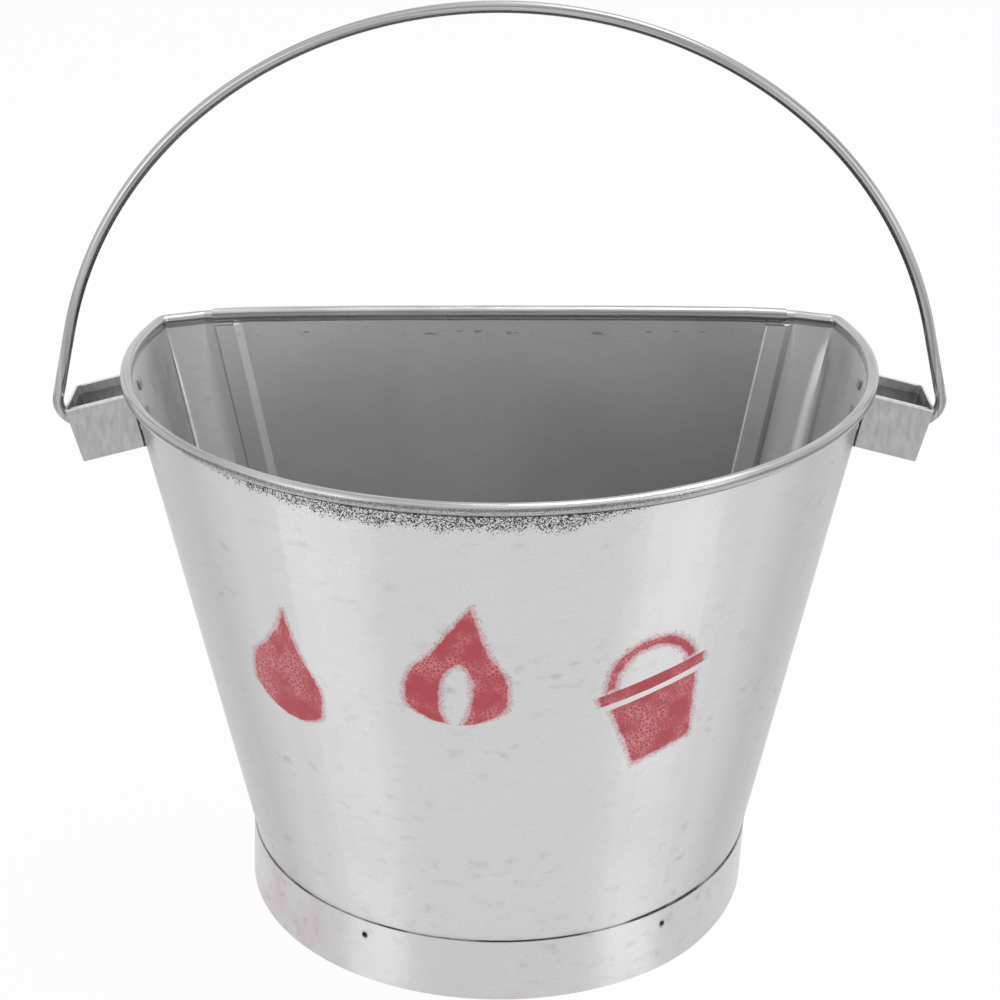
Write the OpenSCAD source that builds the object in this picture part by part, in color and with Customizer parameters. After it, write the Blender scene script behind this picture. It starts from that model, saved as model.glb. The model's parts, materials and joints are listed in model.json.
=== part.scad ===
// Half-round fire bucket in galvanised sheet, for hanging against a wall.
// The body is a cone with a flat back: every bend in it runs towards the cone's apex, as bends
// do in a wall that is cut out flat and folded. The round front sheet turns both back corners
// and is locked to the flat back panel by two folded seams. The rim is rolled over a wire, the
// bottom is held in a folded edge, a separate band makes the foot, and a round-bar bail turns
// in two box-shaped lugs.
// Sizes are in millimetres. The front faces -Y, the flat back faces +Y, and Z is up.

/* [Bucket body] */
// Width over the rolled rim
rim_w = 300; // [260:1:340]
// Height from the floor to the top of the rolled rim
body_h = 235; // [200:1:270]
// Diameter of the round wall at the top edge of the foot band
base_d = 211; // [180:1:225]
// Distance from the round wall's axis to the outside of the flat back, at the rim
back_y = 52; // [44:1:60]
// Width of each strip between the flat back and a back corner, at the rim
return_w = 17.5; // [12:0.1:24]
// Angle by which these strips turn towards the front
return_a = 25; // [15:1:35]
// Thickness of the body's sheet
sheet_t = 0.6; // [0.5:0.05:0.8]
// Play between sheets that are folded or laid together
sheet_play = 0.1; // [0.05:0.05:0.15]

/* [Rolled rim] */
// Diameter of the wire inside the rim
wire_d = 3.4; // [3:0.1:4.5]
// Play between the wire and the front shell's roll
wire_play = 0.05; // [0.05:0.05:0.2]
// How far the wire's centre stands outside the wall's outer face
wire_stand = 0.8; // [0.5:0.1:1.2]
// Radius of the wire's bends at the back corners and at the ends of the flat back
rim_bend_r = 5; // [4:0.5:8]
// Width of the open gap where the rolled edge meets the wall again
roll_gap = 0.25; // [0.2:0.05:0.4]
// Distance from each end of the back panel's roll to the wire's bend beside it
panel_roll_inset = 3; // [2:0.5:8]
// Length by which the back panel's roll laps over the shell's roll
roll_lap = 8; // [5:0.5:12]

/* [Lock seams] */
// Width of the folded part of a seam
seam_w = 8; // [7:0.5:11]
// Distance from the end of the flat back to the seam's nearest fold, at the rim
seam_inset_top = 0.6; // [0.4:0.1:8]
// Distance from the end of the flat back to the seam's nearest fold, at floor level
seam_inset_foot = 4; // [1:0.5:10]
// Width over which the jogged sheet steps back to the flush face
jog_w = 3; // [2.5:0.5:6]
// Gap between the seam's folds and the rim's roll or the bottom
seam_end_gap = 0.4; // [0.3:0.1:1]

/* [Bottom] */
// Height of the wall's folded lower edge above the floor
edge_z = 5; // [3:0.5:8]
// Height of the bottom's underside above the floor
bottom_z = 12; // [10:0.5:16]

/* [Foot band] */
// Height of the foot band
foot_h = 26.3; // [22:0.1:34]
// How far the foot band's lower edge stands out past its top edge
foot_flare = 1.25; // [0:0.25:6]
// Thickness of the foot band's sheet
foot_t = 0.6; // [0.5:0.05:1]
// Play between the foot band's top edge and the wall
foot_play = 0.15; // [0.1:0.05:0.3]
// Length of the lap where the band's ends meet at the back
foot_lap = 18; // [12:1:30]
// Width of the slit where the outer end of the band steps over the inner one
lap_gap = 0.25; // [0.2:0.05:0.5]
// Angle from the front to the left dimple
dimple_left = 30.5; // [20:0.5:50]
// Angle from the front to the right dimple
dimple_right = 38; // [20:0.5:50]
// Distance from the middle to each dimple in the flat back
dimple_back = 48; // [30:1:60]
// Depth of the dimples below the foot band's top edge
dimple_drop = 6.3; // [4:0.1:8]
// Diameter of a dimple's mouth
dimple_d = 3; // [2.6:0.1:3.6]
// Diameter of a dimple's tip
dimple_tip_d = 1.4; // [1.2:0.1:1.8]
// How far a dimple reaches past the wall's inner face
dimple_reach = 0.7; // [0.5:0.1:1.2]

/* [Lugs] */
// Thickness of the lug strap
lug_t = 0.9; // [0.7:0.05:1.2]
// Width of the lug over its two legs
lug_w = 27.3; // [24:0.1:34]
// Height of the lug along its end wall
lug_h = 22.3; // [19:0.1:28]
// Distance from the pivot to the outer face of the round wall
lug_reach = 25.5; // [23:0.1:32]
// Depth of the pivot below the end wall's top edge
pivot_drop = 10.1; // [9:0.1:12]
// Depth of the pivot below the top of the rim
pivot_depth = 23.5; // [21:0.1:30]
// How far the lug sits in front of the round wall's axis
lug_front = 16; // [8:0.5:24]
// Angle by which the lug droops outwards
lug_droop = 14.8; // [10:0.1:18]
// Outer bend radius of the strap's two corners
lug_bend_r = 1.6; // [1.3:0.1:3]
// Height of the hem that is folded inwards on each leg
hem_h = 3.5; // [2.5:0.1:5]
// Height of one clinched tab
tab_h = 4.5; // [3.5:0.1:6]
// Height from the middle of one tab to the middle of the other on a leg
tab_pitch = 13; // [10:0.5:16]
// Length of the clinched end that lies against the wall's inside
tab_turn = 4; // [3:0.5:6]
// Play of a tab in its slit
slit_play = 0.15; // [0.1:0.05:0.3]
// Play between the lug's legs and the wall
lug_play = 0.15; // [0.1:0.05:0.3]

/* [Bail] */
// Diameter of the bail's round bar
bar_d = 4.5; // [3.8:0.1:6]
// Play of the bar in the lug's pivot hole, on the diameter
pivot_play = 0.9; // [0.6:0.1:1.9]
// Angle by which the straight legs lean outwards, down to the curls
leg_flare = 14; // [8:0.5:20]
// Depth of the arc's centre below the pivot
bail_drop = 0.5; // [0:0.1:4]
// Gap between the curled end's straight stub and the lug's end wall
curl_stand = 1.9; // [1.5:0.1:3]
// Radius of the curled ends at the bar's centre
curl_r = 9; // [7:0.5:10]
// Length of the straight stub inside the lug
stub_l = 8; // [6:0.5:12]
// Chamfer on the stub's end
stub_chamfer = 0.6; // [0.3:0.1:1]
// Angle by which the bail leans towards the front at rest
bail_lean = 7.9; // [0:0.1:15]

/* [Hidden] */
$fn = 96;
sheet_colour = "silver";
bar_colour = "darkgray";
// Cutting blocks reach this far past what they cut
past = 1;
big = rim_w;
// Direction of the front, seen from above
front_a = 270;
// Tight bends and seams run on inside their flat neighbours by this length, and are drawn
// thinner by bend_thin on each side, which $thin hands down to the rim's sections
run_on = 0.3;
bend_thin = 0.02;
$thin = 0;
function run_on_a(r) = run_on / r * 180 / PI;

// Rim sizes, from the wire outwards
roll_r = wire_d / 2 + wire_play + sheet_t;
panel_roll_r = roll_r + sheet_play + sheet_t;
rim_path_r = rim_w / 2 - roll_r;
rim_path_y = back_y + wire_stand;
rim_path_z = body_h - roll_r;

// The round wall is one cone through its radius at the foot band and at the rim
wall_top_r = rim_path_r - wire_stand;
wall_slope = (wall_top_r - base_d / 2) / (rim_path_z - foot_h);
function wall_r(z) = base_d / 2 + (z - foot_h) * wall_slope;
// Every bend runs to the cone's apex, so all widths shrink in step with the cone's radius
function taper(z) = wall_r(z) / wall_top_r;

// The flat back and the strips beside it are planes through the apex, and so they lean
back_w = 2 * sqrt(pow(wall_top_r, 2) - pow(back_y - return_w * sin(return_a), 2))
    - 2 * return_w * cos(return_a);
return_d = back_w / 2 * sin(return_a) + back_y * cos(return_a);
back_lean = atan(back_y * wall_slope / wall_top_r);
return_lean = atan(return_d * wall_slope / wall_top_r);
back_slope_l = rim_path_z / cos(back_lean);

// The wire's path: centres of its bends, and the directions in which they lie
bend_d = return_d + wire_stand - rim_bend_r;
corner_t = sqrt(pow(rim_path_r - rim_bend_r, 2) - pow(bend_d, 2));
corner_a = atan2(bend_d, corner_t) - return_a;
bend_y = rim_path_y - rim_bend_r;
bend_x = (bend_d - bend_y * cos(return_a)) / sin(return_a);
bend_t = bend_x * cos(return_a) - bend_y * sin(return_a);
panel_roll_end = bend_x - panel_roll_inset;

// Depths of the four sheet layers in a lock seam, from the flush outer face
layer = sheet_t + sheet_play;
seam_depth = 4 * sheet_t + 3 * sheet_play;
fold_r = (3 * sheet_t + 2 * sheet_play) / 2;
seam_z0 = bottom_z + sheet_t + seam_end_gap;
seam_z1 = rim_path_z - panel_roll_r - seam_end_gap;
straight_edge = seam_w / 2 - fold_r;
hook_start = straight_edge - sheet_t;
// Where the hooked and the jogged sheet end above and below a seam
hooked_edge = straight_edge - sheet_play;
jogged_edge = straight_edge;
jog_start = seam_w / 2 + 3 * sheet_play;
jog_end = jog_start + jog_w;
// Middle of a seam at the rim and at the floor, and its tilt in the plane of the back
seam_top_x = back_w / 2 - jog_end - seam_inset_top;
seam_foot_x = back_w / 2 * taper(0) - jog_end - seam_inset_foot;
seam_tilt = atan((seam_top_x - seam_foot_x) / back_slope_l);
// A line along a seam, at a height up the slope of the back that is 0 at the rim's wire
function seam_x(side, across, up) =
    side * (seam_top_x + up * tan(seam_tilt)) + across / cos(seam_tilt);

// The folded lower edge, from the wall's outer face inwards
hem_depth = 3 * sheet_t + 2 * sheet_play;

// Foot band, whose top edge lies against the wall all round
foot_back_y = back_y * taper(foot_h) + foot_play + foot_t;
foot_return_d = return_d * taper(foot_h) + foot_play + foot_t;
foot_top_r = wall_r(foot_h) + foot_play + foot_t;
function foot_r(z) = foot_top_r + foot_flare * (1 - z / foot_h);
dimple_z = foot_h - dimple_drop;
dimple_wall_r = wall_r(dimple_z) - sheet_t - dimple_reach;
dimple_l = foot_r(dimple_z) - dimple_wall_r;

// Lugs and bail share the pivot axis
pivot_z = body_h - pivot_depth;
pivot_x = sqrt(pow(wall_r(pivot_z), 2) - pow(lug_front, 2)) + lug_reach;
function tab_mid_z(step) = pivot_drop - lug_h / 2 + step * tab_pitch / 2;
// Legs and tabs are drawn this far inwards from the end wall, past the bucket's wall
lug_run = 1.6 * lug_reach;
curl_x = pivot_x - curl_stand;
// The pivot hole is wide enough for the start of the curl, which bends inside it
curl_inner_r = curl_r - bar_d / 2;
curl_rise = curl_inner_r - sqrt(pow(curl_inner_r, 2) - pow(curl_stand, 2));
hole_d = bar_d + pivot_play + 2 * curl_rise;
bail_r = cos(leg_flare) * (curl_x + curl_r * cos(leg_flare)
    + (bail_drop + curl_r * (1 + sin(leg_flare))) * tan(leg_flare));
leg_top_x = bail_r * cos(leg_flare);
leg_top_z = bail_r * sin(leg_flare) - bail_drop;
curl_start_z = curl_r * (1 + sin(leg_flare));
leg_l = (leg_top_z - curl_start_z) / cos(leg_flare);

// The middle of the bucket's depth comes over the origin
axis_y = (rim_w / 2 - rim_path_y - panel_roll_r) / 2;
module in_frame() {
    translate([0, axis_y, 0]) children();
}

// Frames on the outside of the flat back, and of the strip on one side of it: x runs along,
// y outwards and z up the slope, from the height of the rim's wire
module at_back() {
    translate([0, back_y, rim_path_z]) rotate([-back_lean, 0, 0]) children();
}

module at_return(side) {
    rotate([0, 0, -side * return_a])
        translate([0, return_d, rim_path_z]) rotate([-return_lean, 0, 0]) children();
}

module inside_of(y) {
    translate([-big, y - 2 * big, -2 * big]) cube([2 * big, 2 * big, 4 * big]);
}

module between(z0, z1) {
    translate([-big, -big, z0]) cube([2 * big, 2 * big, z1 - z0]);
}

// Solid block inside the wall's outer face, grown outwards by a distance
module wall_block(grow, z0, z1) {
    intersection() {
        translate([0, 0, -past])
            cylinder(h = body_h + past, r1 = wall_r(-past) + grow, r2 = wall_r(body_h) + grow);
        at_back() inside_of(grow);
        at_return(-1) inside_of(grow);
        at_return(1) inside_of(grow);
        between(z0, z1);
    }
}

// One layer of sheet that follows the wall
module wall_layer(outer, inner, z0, z1) {
    difference() {
        wall_block(outer, z0, z1);
        wall_block(inner, z0 - past, z1 + past);
    }
}

// The whole wall with its lower edge folded inwards and up again
module folded_wall() {
    wall_layer(0, -sheet_t, edge_z, rim_path_z);
    wall_layer(-sheet_t / 2, -hem_depth, edge_z, edge_z + sheet_t);
    wall_layer(sheet_t - hem_depth, -hem_depth, edge_z, bottom_z - sheet_play);
}

// The flat back between two lines that follow the seams, through the depth of the seams
module back_window(left, right) {
    low = -back_slope_l - seam_w;
    at_back()
        translate([0, past, 0])
            rotate([90, 0, 0])
                linear_extrude(height = past + seam_depth + past)
                    polygon([[seam_x(-1, left, low), low], [seam_x(1, right, low), low],
                             [seam_x(1, right, seam_w), seam_w],
                             [seam_x(-1, left, seam_w), seam_w]]);
}

// Children are drawn across a seam, with x along the back and y outwards, and run up the seam
module up_seam(side, z0, z1) {
    intersection() {
        at_back()
            translate([side * seam_top_x, 0, 0])
                rotate([0, side * seam_tilt, 0])
                    translate([0, 0, -back_slope_l - seam_w])
                        linear_extrude(height = back_slope_l + 2 * seam_w) children();
        between(z0, z1);
    }
}

// A sheet folded back on itself, open towards one side
module fold(side) {
    difference() {
        circle(r = fold_r);
        circle(r = fold_r - sheet_t);
        translate([side < 0 ? 0 : -2 * fold_r, -2 * fold_r]) square([2 * fold_r, 4 * fold_r]);
    }
}

// Clears the flush sheet where a seam's own section takes its place
module clear_seam(side) {
    up_seam(side, seam_z0 - sheet_play, seam_z1 + sheet_play)
        translate([hook_start, -sheet_t - past])
            square([jog_end - run_on - hook_start, sheet_t + 2 * past]);
}

// The sheet that stays flush, and hooks inwards over the other one
module straight_hook() {
    translate([hook_start - run_on, bend_thin - sheet_t])
        square([sheet_t + run_on, sheet_t - 2 * bend_thin]);
    translate([straight_edge, -fold_r]) fold(1);
    translate([-straight_edge + sheet_play, -2 * layer - sheet_t])
        square([2 * straight_edge - sheet_play, sheet_t]);
}

// The sheet that steps inwards, passes under the hook and folds back into it
module jogged_hook() {
    translate([-straight_edge, -fold_r - layer]) fold(-1);
    translate([-straight_edge, -layer - sheet_t])
        square([2 * straight_edge - sheet_play, sheet_t]);
    translate([-straight_edge, -seam_depth]) square([straight_edge + jog_start, sheet_t]);
    polygon([[jog_start, -seam_depth], [jog_start, sheet_t - seam_depth],
             [jog_end, -bend_thin], [jog_end, bend_thin - sheet_t]]);
}

// Children are drawn across the rim, with x outwards and y up from the wire's centre
module round_front() {
    translate([0, 0, rim_path_z])
        rotate([0, 0, 180 - corner_a])
            rotate_extrude(angle = 180 + 2 * corner_a) translate([rim_path_r, 0]) children();
}

// A bend of the rim about a centre, turning from one direction to another
module rim_bend(centre, from_a, to_a) {
    $thin = bend_thin;
    translate([centre[0], centre[1], rim_path_z])
        rotate([0, 0, from_a - run_on_a(rim_bend_r)])
            rotate_extrude(angle = to_a - from_a + 2 * run_on_a(rim_bend_r))
                translate([rim_bend_r, 0]) children();
}

// The corner and the bend at one end of the flat back
module round_corner(side) {
    rotate([0, 0, -side * return_a])
        rim_bend([side * corner_t, bend_d], side > 0 ? corner_a + return_a : 90,
                 side > 0 ? 90 : 180 - corner_a - return_a) children();
    rim_bend([side * bend_x, bend_y], side > 0 ? 90 - return_a : 90,
             side > 0 ? 90 : 90 + return_a) children();
}

// A straight stretch of the rim that lies along x
module straight_rim(x0, x1, y) {
    translate([x0, y, rim_path_z])
        rotate([90, 0, 90]) linear_extrude(height = x1 - x0) children();
}

module along_back(x0, x1) {
    straight_rim(x0, x1, rim_path_y) children();
}

module along_return(side) {
    rotate([0, 0, -side * return_a])
        straight_rim(side > 0 ? bend_t : -corner_t, side > 0 ? corner_t : -bend_t,
                     return_d + wire_stand) children();
}

// The rim from one end of the flat back round the front to the other
module around_front() {
    round_front() children();
    for (side = [-1, 1]) {
        round_corner(side) children();
        along_return(side) children();
    }
}

module around_rim() {
    around_front() children();
    along_back(-bend_x, bend_x) children();
}

// The rolled edge in section, open just outside the wall
module roll(outer_r) {
    difference() {
        circle(r = outer_r - $thin);
        circle(r = outer_r - sheet_t + $thin);
        translate([-wire_stand - sheet_t / 2 - $thin, -outer_r - past])
            square([roll_gap + sheet_t / 2 + 2 * $thin, outer_r + past]);
    }
}

// Everything inside the middle of a rolled sheet is cut away, and a little more in the bends
module under_roll(outer_r) {
    around_rim() circle(r = outer_r - sheet_t / 2 + $thin);
}

// Children are drawn in a lug's own frame: x outwards along its legs, z up its end wall
module at_lug() {
    translate([pivot_x, -lug_front, pivot_z]) rotate([0, lug_droop, 0]) children();
}

// A block at each tab of the right lug, widened towards the lug's middle and grown on all sides
module tab_blocks(widen, grow) {
    for (leg = [-1, 1])
        for (step = [-1, 1])
            at_lug()
                translate([-lug_run, leg * (lug_w - lug_t) / 2, tab_mid_z(step)])
                    translate([0, (leg > 0 ? -widen : 0) - lug_t / 2 - grow, -tab_h / 2 - grow])
                        cube([lug_run, widen + lug_t + 2 * grow, tab_h + 2 * grow]);
}

module lug_slits(side) {
    mirror([side < 0 ? 1 : 0, 0, 0]) tab_blocks(0, slit_play);
}

// A punched dimple in section, drawn along the line that it is punched on
module dimple(length, mouth_d, tip_d) {
    rotate([0, 90, 0]) cylinder(h = length, d1 = tip_d, d2 = mouth_d);
}

// Places its children at the tip of each dimple, pointing outwards
module at_dimples() {
    for (a = [front_a - dimple_left, front_a + dimple_right])
        rotate([0, 0, a]) translate([dimple_wall_r, 0, dimple_z]) children();
    for (side = [-1, 1])
        translate([side * dimple_back, back_y * taper(dimple_z) - sheet_t - dimple_reach, dimple_z])
            rotate([0, 0, 90]) children();
}

module dimple_skins(grow, length) {
    at_dimples() dimple(length, dimple_d + grow, dimple_tip_d + grow);
}

module front_shell() {
    color(sheet_colour) in_frame() {
        difference() {
            folded_wall();
            under_roll(roll_r);
            back_window(hooked_edge, jogged_edge);
            dimple_skins(2 * slit_play + 2 * sheet_play, dimple_l);
            for (side = [-1, 1]) {
                lug_slits(side);
                clear_seam(side);
            }
        }
        around_front() roll(roll_r);
        for (side = [-1, 1])
            along_back(side > 0 ? panel_roll_end - roll_lap : -bend_x,
                       side > 0 ? bend_x : roll_lap - panel_roll_end) roll(roll_r);
        up_seam(-1, seam_z0, seam_z1) straight_hook();
        up_seam(1, seam_z0, seam_z1) jogged_hook();
    }
}

// Where the panel's sheet joins its roll; beyond it the roll is slotted for the shell's sheet
function roll_join(side) =
    seam_x(side, side < 0 ? jogged_edge : hooked_edge, -panel_roll_r / cos(back_lean));

module back_panel() {
    color(sheet_colour) in_frame() {
        difference() {
            intersection() {
                folded_wall();
                back_window(jogged_edge, hooked_edge);
            }
            under_roll(panel_roll_r);
            dimple_skins(2 * slit_play + 2 * sheet_play, dimple_l);
            for (side = [-1, 1]) clear_seam(side);
        }
        difference() {
            along_back(-panel_roll_end, panel_roll_end) roll(panel_roll_r);
            difference() {
                wall_layer(roll_gap, -layer, seam_z1, rim_path_z);
                translate([roll_join(-1), -big, 0])
                    cube([roll_join(1) - roll_join(-1), 2 * big, body_h]);
            }
        }
        up_seam(-1, seam_z0, seam_z1) jogged_hook();
        up_seam(1, seam_z0, seam_z1) straight_hook();
    }
}

module bottom_plate() {
    color(sheet_colour) in_frame() {
        wall_block(-layer, bottom_z, bottom_z + sheet_t);
        wall_layer(-layer, -layer - sheet_t, edge_z + layer, bottom_z + sheet_t / 2);
    }
}

// Solid block inside the foot band's outer face
module foot_block(grow, z0, z1) {
    intersection() {
        translate([0, 0, -past])
            cylinder(h = foot_h + 2 * past, r1 = foot_r(-past) + grow,
                     r2 = foot_r(foot_h + past) + grow);
        translate([0, foot_back_y, 0]) inside_of(grow);
        rotate([0, 0, -return_a]) translate([0, foot_return_d, 0]) inside_of(grow);
        rotate([0, 0, return_a]) translate([0, foot_return_d, 0]) inside_of(grow);
        between(z0, z1);
    }
}

module foot_band() {
    color(sheet_colour) in_frame() {
        difference() {
            union() {
                difference() {
                    foot_block(0, 0, foot_h);
                    foot_block(-foot_t, -past, foot_h + past);
                    translate([foot_lap / 2, 0, -past])
                        cube([lap_gap, 2 * foot_back_y, foot_h + 2 * past]);
                }
                translate([-foot_lap / 2, foot_back_y + sheet_play, 0])
                    cube([foot_lap + foot_t + lap_gap, foot_t, foot_h]);
                translate([foot_lap / 2 + lap_gap, foot_back_y - foot_t, 0])
                    cube([foot_t, 2 * foot_t + sheet_play, foot_h]);
                intersection() {
                    dimple_skins(0, dimple_l + past);
                    foot_block(0, 0, foot_h);
                }
            }
            at_dimples()
                translate([foot_t, 0, 0])
                    dimple(dimple_l + past, dimple_d, dimple_tip_d - foot_t / 2);
        }
    }
}

module rim_wire() {
    color(bar_colour) in_frame() around_rim() circle(d = wire_d - 2 * $thin);
}

// The right lug: a strap bent into a U, drooping with the wall's slope
module lug_strap() {
    difference() {
        at_lug()
            translate([0, 0, pivot_drop - lug_h])
                linear_extrude(height = lug_h)
                    difference() {
                        rounded_end(lug_w, lug_bend_r);
                        translate([-lug_t, 0]) rounded_end(lug_w - 2 * lug_t, lug_bend_r - lug_t);
                    }
        wall_block(lug_play, -past, body_h);
        translate([pivot_x - 2 * lug_t, -lug_front, pivot_z])
            rotate([0, 90, 0]) cylinder(h = 4 * lug_t, d = hole_d);
    }
}

// A long rectangle whose outer end lies on the y axis and has two rounded corners
module rounded_end(width, corner_r) {
    translate([-lug_run, -width / 2]) square([lug_run - corner_r, width]);
    translate([-lug_run, corner_r - width / 2]) square([lug_run, width - 2 * corner_r]);
    for (side = [-1, 1])
        translate([-corner_r, side * (width / 2 - corner_r)]) circle(r = corner_r);
}

// The hem inside each leg's top edge, cut off slantwise at the end wall
module lug_hems() {
    difference() {
        for (leg = [-1, 1])
            at_lug()
                translate([0, leg * (lug_w / 2 - lug_t - sheet_play / 2) + lug_t + sheet_play / 2, 0])
                    rotate([90, 0, 0])
                        linear_extrude(height = 2 * lug_t + sheet_play)
                            polygon(hem_outline());
        at_lug()
            for (leg = [-1, 1])
                translate([-lug_run, leg * (lug_w / 2 - lug_t - sheet_play / 2) - sheet_play / 2,
                           pivot_drop - hem_h - past])
                    cube([lug_run, sheet_play, hem_h + past - lug_t]);
        wall_block(lug_play, -past, body_h);
    }
}
function hem_outline() = [[-lug_run, pivot_drop - hem_h], [-lug_run, pivot_drop],
    [-lug_t - lug_bend_r, pivot_drop], [-lug_t - lug_bend_r - hem_h, pivot_drop - hem_h]];

// Tabs pass through the wall's slits, and their ends lie flat against its inside
module lug_tabs() {
    tab_depth = layer + lug_t;
    intersection() {
        tab_blocks(0, 0);
        wall_layer(2 * lug_play, -tab_depth, edge_z, rim_path_z);
    }
    intersection() {
        tab_blocks(tab_turn, 0);
        wall_layer(-layer, -tab_depth, edge_z, rim_path_z);
    }
}

module lug(side) {
    color(sheet_colour) in_frame()
        mirror([side < 0 ? 1 : 0, 0, 0]) {
            lug_strap();
            lug_hems();
            lug_tabs();
        }
}

module left_lug() {
    lug(-1);
}

module right_lug() {
    lug(1);
}

// One half of the bail below its arc, drawn with y up: straight leg, curl and stub
module bail_end() {
    translate([leg_top_x, leg_top_z, 0])
        rotate([0, 0, leg_flare]) rotate([90, 0, 0])
            translate([0, 0, -run_on]) cylinder(h = leg_l + 2 * run_on, d = bar_d);
    translate([curl_x, curl_r, 0])
        rotate([0, 0, -90])
            rotate_extrude(angle = 90 + leg_flare)
                translate([curl_r, 0]) circle(d = bar_d - 2 * bend_thin);
    translate([curl_x - stub_l + stub_chamfer, 0, 0])
        rotate([0, 90, 0]) cylinder(h = stub_l - stub_chamfer + run_on, d = bar_d);
    translate([curl_x - stub_l, 0, 0])
        rotate([0, 90, 0])
            cylinder(h = stub_chamfer + run_on, d1 = bar_d - 2 * stub_chamfer,
                     d2 = bar_d + 2 * run_on - 2 * bend_thin);
}

module bail() {
    color(bar_colour) in_frame()
        translate([0, -lug_front, pivot_z]) rotate([90 + bail_lean, 0, 0]) {
            translate([0, -bail_drop, 0])
                rotate([0, 0, leg_flare])
                    rotate_extrude(angle = 180 - 2 * leg_flare)
                        translate([bail_r, 0]) circle(d = bar_d - 2 * bend_thin);
            bail_end();
            mirror([1, 0, 0]) bail_end();
        }
}

front_shell();
back_panel();
bottom_plate();
foot_band();
rim_wire();
left_lug();
right_lug();
bail();
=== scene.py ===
# %% [markdown]
# # A half-round fire bucket in galvanised sheet
# This lesson dresses a finished CAD model of a galvanised fire bucket: a tapered round front,
# a flat back, a rolled rim, a foot band and a round-bar bail. The CAD model gives the shape,
# the size and the place of each piece. What Blender adds is what a drawing can't hold: the
# slight unevenness of sheet that was folded by hand, and the way zinc takes the light.

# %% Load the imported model
import json
import math
import bmesh
import bpy
import numpy as np
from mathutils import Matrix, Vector


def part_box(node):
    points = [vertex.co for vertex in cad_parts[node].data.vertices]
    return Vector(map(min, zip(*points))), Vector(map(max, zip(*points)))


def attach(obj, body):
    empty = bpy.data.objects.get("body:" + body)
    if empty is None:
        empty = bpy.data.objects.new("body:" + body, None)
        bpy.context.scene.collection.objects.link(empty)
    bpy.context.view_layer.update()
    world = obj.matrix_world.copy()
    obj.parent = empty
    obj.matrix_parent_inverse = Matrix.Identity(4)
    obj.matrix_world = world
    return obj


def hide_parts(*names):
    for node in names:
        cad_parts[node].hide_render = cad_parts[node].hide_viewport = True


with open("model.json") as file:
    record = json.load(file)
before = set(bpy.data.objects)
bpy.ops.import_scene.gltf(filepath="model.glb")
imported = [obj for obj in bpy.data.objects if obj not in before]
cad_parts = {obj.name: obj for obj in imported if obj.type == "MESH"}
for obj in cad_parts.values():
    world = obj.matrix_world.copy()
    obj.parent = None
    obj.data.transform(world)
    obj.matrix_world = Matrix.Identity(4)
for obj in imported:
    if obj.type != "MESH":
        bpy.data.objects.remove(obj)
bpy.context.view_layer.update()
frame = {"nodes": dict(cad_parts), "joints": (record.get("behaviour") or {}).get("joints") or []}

MM = 0.001
print("nodes:", sorted(frame["nodes"]))

# %% [markdown]
# ## Camera
# The photograph looks down at the bucket by about 24 degrees, from about a metre away, with a
# lens a little longer than normal. The round rim shows this: an ellipse as flat as this one,
# this wide in the picture, fits only one distance and one angle.

# %% Place the camera
CAMERA_PLACE = Vector((0.0, -815.0, 557.0)) * MM
CAMERA_DOWN = math.radians(24.18)
camera_data = bpy.data.cameras.new("bucket_camera")
camera_data.lens = 82.8
camera_data.sensor_width = 36.0
camera_data.shift_x = 0.0005
camera = bpy.data.objects.new("bucket_camera", camera_data)
camera.location = CAMERA_PLACE
camera.rotation_euler = (math.pi / 2 - CAMERA_DOWN, 0.0, 0.0)
bpy.context.scene.collection.objects.link(camera)
bpy.context.scene.camera = camera
print("camera", [round(v, 3) for v in camera.location], "down", round(math.degrees(CAMERA_DOWN), 2))

# %% [markdown]
# ## The cone that the body is cut from
# Every bend of the body runs to the apex of one cone. So each height of the wall is the rim's
# outline made smaller, and a place on the wall is best given as the place above it on the rim,
# which is its own place divided by how far the cone has narrowed. The cone's upper radius and
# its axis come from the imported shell's box, and its lower radius from the foot band.

# %% Read the cone from the frame
shell_low, shell_high = [np.array(corner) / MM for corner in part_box("front_shell")]
foot_high = np.array(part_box("foot_band")[1]) / MM
ROLL_RADIUS = 2.35  # the rolled edge's outer radius
WIRE_STAND = 0.8  # how far the wire's middle stands outside the wall
FOOT_PLAY = 0.75  # the foot's sheet and its play
RIM_Z = shell_high[2] - ROLL_RADIUS
AXIS_Y = shell_low[1] + shell_high[0]
TOP_RADIUS = shell_high[0] - ROLL_RADIUS - WIRE_STAND
FOOT_FLARE = 1.25
FOOT_RADIUS = foot_high[0] - FOOT_FLARE - FOOT_PLAY
SLOPE = (TOP_RADIUS - FOOT_RADIUS) / (RIM_Z - foot_high[2])


def taper(z):
    """How far the cone has narrowed at a height: 1 at the rim, less below it."""
    return 1 + (z - RIM_Z) * SLOPE / TOP_RADIUS


print("axis y", round(AXIS_Y, 2), "top radius", round(TOP_RADIUS, 2),
      "foot radius", round(FOOT_RADIUS, 2))

# %% [markdown]
# ## Small helpers for materials
# Colours are written as the hex values that one reads off a screen, and Blender works in
# linear light, so one function turns the first into the second. Another adds one node, sets
# its values and links its inputs, so that each material reads as a short recipe.

# %% Colour and node helpers
def linear(hex_colour):
    """An sRGB hex colour as linear RGBA."""
    values = [int(hex_colour[i:i + 2], 16) / 255 for i in (1, 3, 5)]
    return [v / 12.92 if v <= 0.04045 else ((v + 0.055) / 1.055) ** 2.4 for v in values] + [1.0]


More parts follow.
